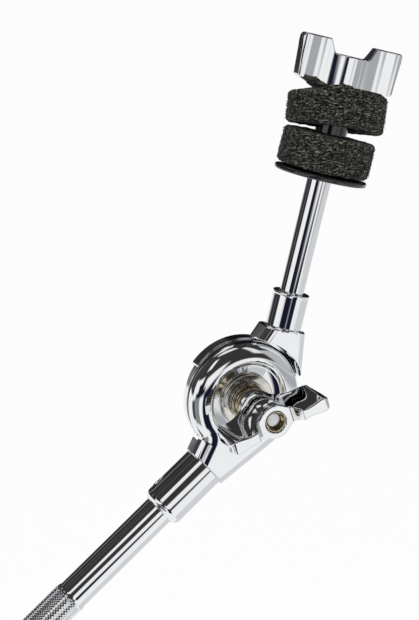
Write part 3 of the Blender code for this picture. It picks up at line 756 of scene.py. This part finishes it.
# Seat disc and sleeve
# A dished disc of gloss black plastic on the post's shoulder, and the sleeve of the same
# plastic that keeps a cymbal off the thread.
gloss_black = handled("gloss_black_plastic", 0.0, (0.012, 0.012, 0.014), 0.08, 300.0, 0.5)
LACQUER = 0.5
lacquered = gloss_black.node_tree.nodes["Principled BSDF"].inputs
lacquered["Coat Weight"].default_value = LACQUER
BLACK_BORE_R = 0.0042
SLEEVE_R = 0.0070
SEAT_R = 0.0204
SEAT_HUB_R = 0.0105
SEAT_HUB_ROUND = 0.0020
SEAT_BASE = 0.1019
SEAT_TOP = 0.1046
SEAT_RIM_LOW = 0.1015
SEAT_RIM_TOP = 0.1036
SEAT_RIM_ROUND = 0.0008
LOWER_FELT_BASE = 0.1049
CYMBAL_NUT_BASE = 0.136510
seat_profile = rounded([
    (BLACK_BORE_R, SEAT_BASE, 0), (SEAT_HUB_R, SEAT_BASE, SEAT_HUB_ROUND),
    (SEAT_R, SEAT_RIM_LOW, SEAT_RIM_ROUND), (SEAT_R, SEAT_RIM_TOP, SEAT_RIM_ROUND),
    (SEAT_HUB_R, SEAT_TOP, SEAT_HUB_ROUND), (BLACK_BORE_R, SEAT_TOP, 0),
])
shown("seat_disc_black", moved(turned(seat_profile), ON_POST), gloss_black, "post",
      "seat_disc")
sleeve = ring(BLACK_BORE_R, SLEEVE_R, LOWER_FELT_BASE, CYMBAL_NUT_BASE - GAP)
shown("sleeve_black", moved(sleeve, ON_POST), gloss_black, "post", "cymbal_sleeve")

# Felt washers
# Two thick washers of charcoal wool felt, cut from sheet. The upper one lies askew on the
# sleeve, and the wing nut has pressed its top into a hollow.
WOOL_ROUGHNESS = 0.95
WOOL_SPECULAR = 0.15
WOOL_SHEEN = 0.05
LAYER_STRETCH = (1.0, 1.0, 3.2)
MATTING = [(600.0, 4.0), (1800.0, 2.0), (95.0, 2.0)]  # scale and detail of tufts, fibres and patches
MATTING_DISTORTION = 0.6
TUFT_SHARE = 0.55
FIBRE_SHARE = 0.45
# Tones of the felt's ramp: the near-black step is painted shade in the hollows of the bump, and the pale
# step is pale fibre with a painted highlight on the raised fibres
HOLLOW_PAINTED_SHADE_TONE = (0.43, (0.002, 0.002, 0.002, 1.0))
CHARCOAL_TONE = (0.53, (0.020, 0.020, 0.018, 1.0))
PALE_FIBRE_PAINTED_HIGHLIGHT_TONE = (0.66, (0.36, 0.36, 0.33, 1.0))
OLIVE = (1.0, 0.96, 0.84, 1.0)
NAP_STRENGTH = 0.6
NAP_DEPTH = 0.0004
felt = bpy.data.materials.new("charcoal_felt")
felt.use_nodes = True
tree = felt.node_tree
wool = tree.nodes["Principled BSDF"]
wool.inputs["Roughness"].default_value = WOOL_ROUGHNESS
wool.inputs["Specular IOR Level"].default_value = WOOL_SPECULAR
wool.inputs["Sheen Weight"].default_value = WOOL_SHEEN
laid = tree.nodes.new("ShaderNodeMapping")
laid.inputs["Rotation"].default_value = (0.0, -POST_LEAN, 0.0)
laid.inputs["Scale"].default_value = LAYER_STRETCH
links(tree, (tree.nodes.new("ShaderNodeTexCoord").outputs["Object"], laid.inputs["Vector"]))
shades = []
for scale, detail in MATTING:
    matted = tree.nodes.new("ShaderNodeTexNoise")
    matted.inputs["Scale"].default_value = scale
    matted.inputs["Detail"].default_value = detail
    matted.inputs["Distortion"].default_value = MATTING_DISTORTION
    links(tree, (laid.outputs["Vector"], matted.inputs["Vector"]))
    shades.append(matted.outputs["Fac"])
mixed = math_node(tree, "ADD", math_node(tree, "MULTIPLY", shades[0], TUFT_SHARE),
                  math_node(tree, "MULTIPLY", shades[1], FIBRE_SHARE))
# The ramp follows the bump's height, so over the felt's own charcoal and pale fibres the hollows get
# painted shade and the raised fibres painted highlights
fibre_tone_and_painted_light = tree.nodes.new("ShaderNodeValToRGB")
for element, (position, tone) in zip(fibre_tone_and_painted_light.color_ramp.elements, (HOLLOW_PAINTED_SHADE_TONE, PALE_FIBRE_PAINTED_HIGHLIGHT_TONE)):
    element.position = position
    element.color = tone
fibre_tone_and_painted_light.color_ramp.elements.new(CHARCOAL_TONE[0]).color = CHARCOAL_TONE[1]
links(tree, (mixed, fibre_tone_and_painted_light.inputs["Fac"]))
olive = tree.nodes.new("ShaderNodeMix")
olive.data_type = "RGBA"
olive.blend_type = "MULTIPLY"
olive.inputs["B"].default_value = OLIVE
links(tree, (shades[2], olive.inputs["Factor"]), (fibre_tone_and_painted_light.outputs["Color"], olive.inputs["A"]),
      (olive.outputs["Result"], wool.inputs["Base Color"]))
nap = tree.nodes.new("ShaderNodeBump")
nap.inputs["Strength"].default_value = NAP_STRENGTH
nap.inputs["Distance"].default_value = NAP_DEPTH
links(tree, (mixed, nap.inputs["Height"]), (nap.outputs["Normal"], wool.inputs["Normal"]))
LOWER_FELT_R = 0.0200
UPPER_FELT_R = 0.0211
FELT_ROUND = 0.0016
LOWER_FELT_TOP = 0.1202
UPPER_FELT_MID = 0.131234
UPPER_FELT_HALF = 0.0074
UPPER_FELT_CROWN = 0.0020
UPPER_FELT_HOLE = 0.008727
FELT_TILT = math.radians(8.2)
FELT_TILT_TURN = math.radians(71.0)
FELT_HOLE_ROUND = 0.0004
FELT_HOLE_CALM = 0.0030
FELT_STEPS = 300
WALL_STEPS = 40
WALL_FROM = 0.15
WALL_SHARE = 0.7
LUMP_GRAIN = 260
LUMP_HEIGHT = 0.00030
LAYER_GRAIN = 420
LAYER_CLIMB = 1900
LAYER_HEIGHT = 0.00022
FUZZ_GRAIN = 1700
FUZZ_STRETCH = 1.6
FUZZ_HEIGHT = 0.00022
FIBRES = 1500
FIBRE_R = 0.00006
FIBRE_MARGIN = 0.0006
FIBRE_REACH = (0.0012, 0.0042)
FIBRE_CLIMB = 0.25
FIBRE_LIFT = (0.0001, 0.0007)
FIBRE_WAVER = (-0.0001, 0.00015)
FIBRE_CLEAR = 0.0001
FIBRE_BENDS = 4
hairs = random.Random(4)


def eased(value, start, end):
    """0 before start, 1 after end, smooth between."""
    u = min(1.0, max(0.0, (value - start) / (end - start)))
    return u * u * (3 - 2 * u)


def felt_shape(hole, outer, low, high, crown, settle):
    """A washer cut from felt: lumpy faces, matted layers round its rim, and loose fibres along it."""
    edge = outer - FELT_ROUND
    dome = [(hole + (edge - hole) * (1 - i / 16), high + crown * (1 - (1 - i / 16) ** 2), 0)
            for i in range(1, 16)]
    wall = [(outer, low + (high - low) * (WALL_FROM + WALL_SHARE * i / WALL_STEPS), 0)
            for i in range(WALL_STEPS + 1)]
    base = [(hole + (edge - hole) * i / 12, low, 0) for i in range(1, 12)]
    outline = rounded([(hole, low, FELT_HOLE_ROUND)] + base + [(outer, low, FELT_ROUND)] + wall
                      + [(outer, high, FELT_ROUND)] + dome + [(hole, high + crown, FELT_HOLE_ROUND)])
    shape = turned(outline, FELT_STEPS)
    shape.normal_update()
    for vert in shape.verts:
        x, y, z = vert.co
        inset = eased(math.hypot(x, y), hole, hole + FELT_HOLE_CALM)
        lumps = noise.noise(Vector((x, y, z)) * LUMP_GRAIN) * LUMP_HEIGHT
        layers = noise.noise(Vector((x * LAYER_GRAIN, y * LAYER_GRAIN, z * LAYER_CLIMB))) * LAYER_HEIGHT
        fuzz = noise.noise(Vector((x, y, z * FUZZ_STRETCH)) * FUZZ_GRAIN) * FUZZ_HEIGHT
        vert.co += vert.normal * inset * (lumps + layers + fuzz)
    wisps = bpy.data.curves.new("wisps", "CURVE")
    wisps.dimensions = "3D"
    wisps.bevel_depth = FIBRE_R
    wisps.bevel_resolution = 0
    wisps.use_fill_caps = True
    for _ in range(FIBRES):
        turn = hairs.uniform(0, math.tau)
        height = hairs.uniform(low + FIBRE_MARGIN, high - FIBRE_MARGIN)
        reach = hairs.uniform(*FIBRE_REACH)
        climb = hairs.gauss(0.0, FIBRE_CLIMB) * reach
        lift = hairs.uniform(*FIBRE_LIFT) * hairs.random()
        strand = wisps.splines.new("POLY")
        strand.points.add(FIBRE_BENDS)
        for i, point in enumerate(strand.points):
            u = i / FIBRE_BENDS
            a = turn + reach * (u - 0.5) / outer
            r = outer + FIBRE_CLEAR + lift * math.sin(math.pi * u) + hairs.uniform(*FIBRE_WAVER)
            z = min(high, max(low, height + climb * (u - 0.5)))
            r -= FELT_ROUND * max(0.0, 1 - (min(z - low, high - z)) / FELT_ROUND) ** 2
            point.co = (r * math.cos(a), r * math.sin(a), z, 1.0)
    loose = bpy.data.objects.new("wisps", wisps)
    scene.collection.objects.link(loose)
    strands = bpy.data.meshes.new_from_object(loose.evaluated_get(bpy.context.evaluated_depsgraph_get()))
    shape.from_mesh(strands)
    bpy.data.objects.remove(loose)
    bpy.data.curves.remove(wisps)
    bpy.data.meshes.remove(strands)
    for vert in shape.verts:
        vert.co = settle(vert.co, (vert.co.z - low) / (high - low))
    return shape


def lies_flat(point, _rise):
    return point


DROOP = 0.0016
DROOP_REACH = (0.0040, 0.0150)
SWELL = 0.0020
SWELL_LEFT_END = (-0.0175, -0.0125)
SWELL_RIGHT_END = (-0.0170, -0.0080)
SWELL_PEAK = 0.0010
SWELL_PEAK_REACH = (0.0040, 0.0090)
SWELL_FRONT = (0.0040, 0.0120)
SWELL_RIM = (0.0110, 0.0155)
SAG = 0.0012
SAG_REACH = (0.0020, 0.0160)


def pressed_by_nut(point, rise):
    """Askew on the sleeve, its top pressed by the nut, drooping to the left and swelling up in front."""
    p = askew @ point
    past_flat = p.xy.length - WING_FLAT - GAP
    under_wing = max(0.0, past_flat * WING_LOW_RISE / (WING_LOW_CORNER - WING_FLAT))
    if rise > 0.5:
        p.z = min(p.z, CYMBAL_NUT_BASE - GAP + under_wing)
    droop = DROOP * eased(-p.y, *DROOP_REACH)
    height = SWELL + SWELL_PEAK * eased(-p.y, *SWELL_PEAK_REACH)
    across = eased(p.y, *SWELL_LEFT_END) * eased(-p.y, *SWELL_RIGHT_END) * height
    swell = across * eased(p.x, *SWELL_FRONT) * eased(p.xy.length, *SWELL_RIM)
    high = min(1.0, max(0.0, rise))
    p.z += high * (swell - droop) - (1 - high) * SAG * eased(p.y, *SAG_REACH)
    return p


lower_felt_shape = felt_shape(SLEEVE_R + GAP, LOWER_FELT_R, LOWER_FELT_BASE, LOWER_FELT_TOP,
                              0.0, lies_flat)
lower_felt = shown("lower_felt_wool", moved(lower_felt_shape, ON_POST), felt, "post",
                   "lower_felt")
askew = (Matrix.Translation((0, 0, UPPER_FELT_MID)) @ Matrix.Rotation(-FELT_TILT_TURN, 4, "Z")
         @ Matrix.Rotation(FELT_TILT, 4, "X"))
upper_felt_shape = felt_shape(UPPER_FELT_HOLE, UPPER_FELT_R, -UPPER_FELT_HALF, UPPER_FELT_HALF,
                              UPPER_FELT_CROWN, pressed_by_nut)
upper_felt = shown("upper_felt_wool", moved(upper_felt_shape, ON_POST), felt, "post",
                   "upper_felt")

# Cymbal wing nut
# The same kind of chromed cast wing nut on the post's thread, without a boss.
# It clamps the felts, and it too is pressed onto a brass threaded insert.
CYMBAL_INSERT_R = 0.0054
CYMBAL_WING_TURN = math.radians(-5.0)
cymbal_turn = Matrix.Translation((0, 0, CYMBAL_NUT_BASE)) @ Matrix.Rotation(CYMBAL_WING_TURN, 4, "Z")
cymbal_nut = nut_shape(0.0, CYMBAL_INSERT_R + GAP)
shown("cymbal_nut_chrome", moved(cymbal_nut, ON_POST @ cymbal_turn),
      chrome, "cymbal_nut", "cymbal_wing_nut", NUT_EDGE)
cymbal_insert = ring(BLACK_BORE_R, CYMBAL_INSERT_R, CYMBAL_NUT_BASE, CYMBAL_NUT_BASE + HUB_HEIGHT - GAP)
shown("cymbal_insert", moved(cymbal_insert, ON_POST), brass, "cymbal_thread",
      "cymbal_nut_insert")
